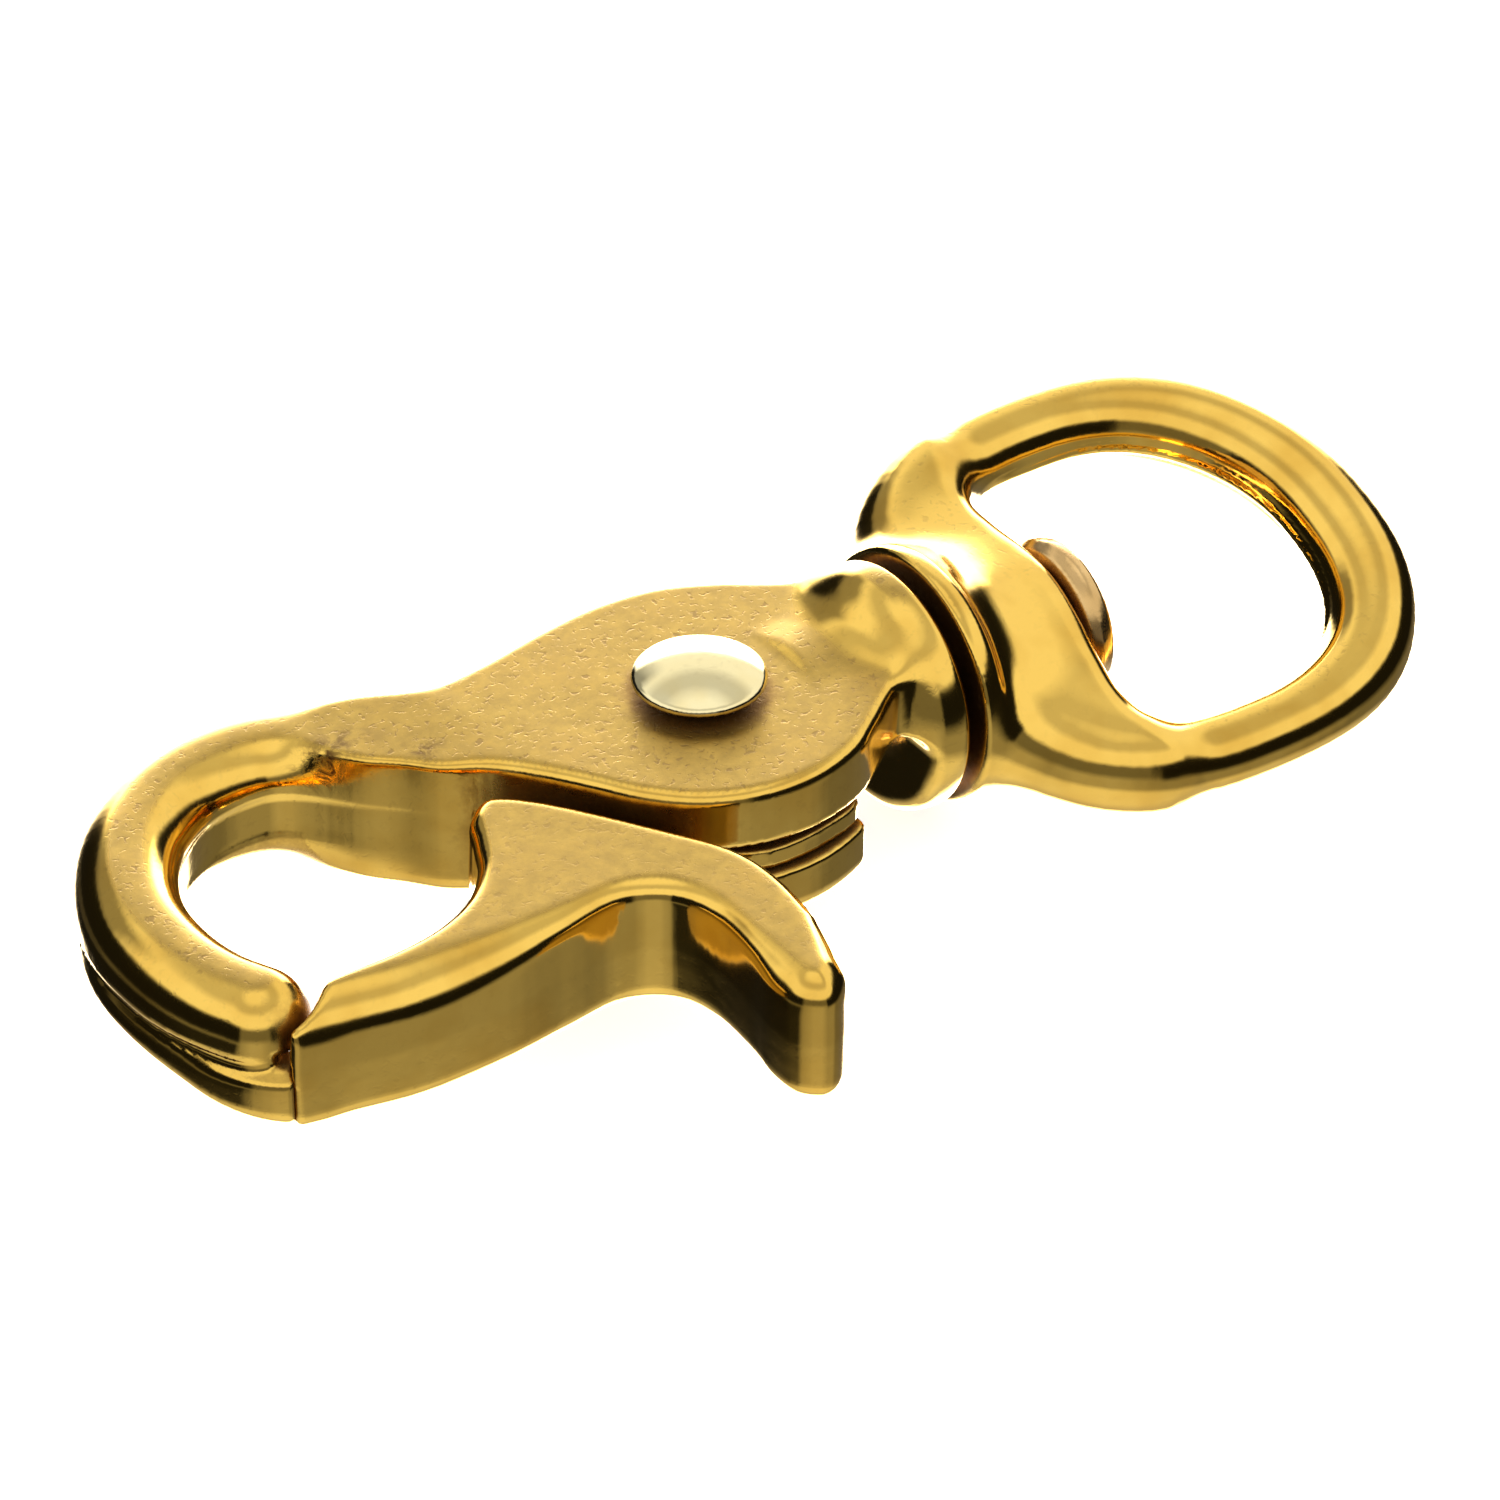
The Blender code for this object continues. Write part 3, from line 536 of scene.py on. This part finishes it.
for name, node, body, slot, shape, mat, mesh, points in built:
    normal = slope(points, shape)
    normal /= np.maximum(np.linalg.norm(normal, axis=1, keepdims=True), 1e-6)
    # hollow: how closely each point is hemmed in by all the pieces; the materials paint shade (with some
    # tarnish) from it in place of rendered occlusion
    hollow = np.zeros(len(points))
    for reach, weight in ((0.7, 0.35), (1.6, 0.4), (3.2, 0.25)):
        probe = points + normal * reach
        room = np.min([other[4](*probe.T) for other in built], axis=0)
        hollow += weight * np.clip(1 - room / reach, 0, 1.3)
    # less painted shade on the stud
    if name == "stud_turned":
        hollow *= 0.4
    if name == "body_casting":                            # the hook's inner wall is left rough below
        inner = HOOK_PLAN(points[:, 0], points[:, 1])[1]
        hollow += 0.4 * ramp(inner, 2.2, 2.7) * ramp(-points[:, 2], 1.1, 1.5) * (inner < 3.3)
    attribute(mesh, "hollow", np.clip(hollow, 0, 1))
    attribute(mesh, "flat", ramp(np.abs(normal[:, 2]), 0.93, 0.995))
    stain = spot(points, -20.0, 7.9, 3.2, np.array((2.2, 1.2, 1.2)))
    stain += 0.6 * spot(points, -15.9, 4.4, 4.0, 1.0)
    attribute(mesh, "stain", np.clip(stain * 1.6, 0, 1))
    mesh.transform(Matrix.Translation(ORIGIN) @ Matrix.Diagonal((MM, MM, MM, 1.0)))
    mesh.materials.append(mat)
    piece = bpy.data.objects.new(name, mesh)
    bpy.context.scene.collection.objects.link(piece)
    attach(piece, body)
    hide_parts(node)

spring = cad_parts["gate_spring"]
spring.data.materials.clear()
spring.data.materials.append(spring_steel())

# ---------------------------------------------------------------- floor, light, camera
floor_mesh = bpy.data.meshes.new("floor")
SIDE = 4.0
floor_mesh.from_pydata([(-SIDE, -SIDE, 0), (SIDE, -SIDE, 0), (SIDE, SIDE, 0), (-SIDE, SIDE, 0)],
                       [], [(0, 1, 2, 3)])
floor = bpy.data.objects.new("floor", floor_mesh)
bpy.context.scene.collection.objects.link(floor)
floor.location.z = -0.0002
floor.visible_glossy = False
paper = bpy.data.materials.new("pale_floor")
paper.use_nodes = True
paper_shader = paper.node_tree.nodes["Principled BSDF"]
paper_shader.inputs["Base Color"].default_value = rgb(0.93, 0.93, 0.93)
paper_shader.inputs["Roughness"].default_value = 0.9
paper_shader.inputs["Emission Color"].default_value = rgb(1, 1, 1)
paper_shader.inputs["Emission Strength"].default_value = 0.75
floor_mesh.materials.append(paper)

AZIMUTH, ELEVATION = math.radians(34.7), math.radians(35.2)
DISTANCE = 0.450
toward = Vector((-math.sin(AZIMUTH) * math.cos(ELEVATION), -math.cos(AZIMUTH) * math.cos(ELEVATION),
                 math.sin(ELEVATION)))
target = ORIGIN + Vector((2.9, -0.9, 0.0)) * MM
camera_data = bpy.data.cameras.new("camera")
camera_data.lens = 187.272
camera_data.sensor_width = 36.0
camera_data.clip_start = 0.01
camera = bpy.data.objects.new("camera", camera_data)
bpy.context.scene.collection.objects.link(camera)
camera.location = target + toward * DISTANCE
camera.rotation_euler = toward.to_track_quat("Z", "Y").to_euler()
bpy.context.scene.camera = camera


def studio():
    """A studio of white and dark panels round the object, as a function of direction."""
    world = bpy.data.worlds.new("studio")
    bpy.context.scene.world = world
    world.use_nodes = True
    n = Nodes(world.node_tree)
    background = world.node_tree.nodes["Background"]
    background.inputs["Color"].default_value = rgb(1, 1, 1)
    direction = n.add("ShaderNodeTexCoord").outputs["Generated"]
    split = n.add("ShaderNodeSeparateXYZ", {0: direction})
    up = split.outputs[2]
    # how far a direction points to the back of the studio, as the camera stands in front
    back = n.math("ADD", n.math("MULTIPLY", split.outputs[0], math.sin(AZIMUTH)),
                  n.math("MULTIPLY", split.outputs[1], math.cos(AZIMUTH)))
    right = n.math("SUBTRACT", n.math("MULTIPLY", split.outputs[0], math.cos(AZIMUTH)),
                   n.math("MULTIPLY", split.outputs[1], math.sin(AZIMUTH)))
    width = n.math("ABSOLUTE", right)
    dome = n.range(up, 0.22, 0.36)
    front_low = n.math("MULTIPLY", n.range(back, 0.0, -0.25), n.range(up, -0.10, -0.30))
    front_low = n.math("MULTIPLY", front_low, n.range(width, 0.15, 0.45, 1.0, 0.5))
    wall = n.math("MULTIPLY", n.range(back, 0.10, 0.35), n.range(up, 0.41, 0.27))
    wall = n.math("MULTIPLY", wall, n.range(width, 0.50, 0.40))
    dip = n.math("MULTIPLY", n.range(up, 0.68, 0.80), n.range(up, 0.97, 0.89))
    dark_sides = n.math("MULTIPLY", n.range(width, 0.44, 0.54),
                        n.math("MULTIPLY", n.range(up, 0.38, 0.26), n.range(up, -0.40, -0.20)))
    dark_left = n.math("MULTIPLY", n.range(right, -0.44, -0.58),
                       n.math("MULTIPLY", n.range(up, -0.20, -0.40), n.range(up, -0.84, -0.68)))
    dim_left = n.math("MULTIPLY", n.math("MULTIPLY", n.range(right, -0.28, -0.46), n.range(back, 0.2, 0.4)),
                      n.math("MULTIPLY", n.range(up, 0.70, 0.58), 0.75))
    dark = n.math("MAXIMUM", dim_left, n.math("MAXIMUM", dark_sides, dark_left))
    light = n.math("ADD", n.math("MULTIPLY", dome, 0.88), 0.17)
    light = n.math("SUBTRACT", light, n.math("MULTIPLY", dip, 0.38))
    light = n.math("ADD", light, n.math("MULTIPLY", front_low, 0.28))
    light = n.math("ADD", light, n.math("MULTIPLY", wall, 6.3))
    light = n.math("MULTIPLY", light, n.range(dark, 0.0, 1.0, 1.0, 0.06))
    light = n.math("ADD", light, n.math("MULTIPLY", n.range(up, -0.62, -0.76), 0.5))
    n.tree.links.new(light, background.inputs["Strength"])


studio()

bpy.context.scene.view_settings.view_transform = "Standard"
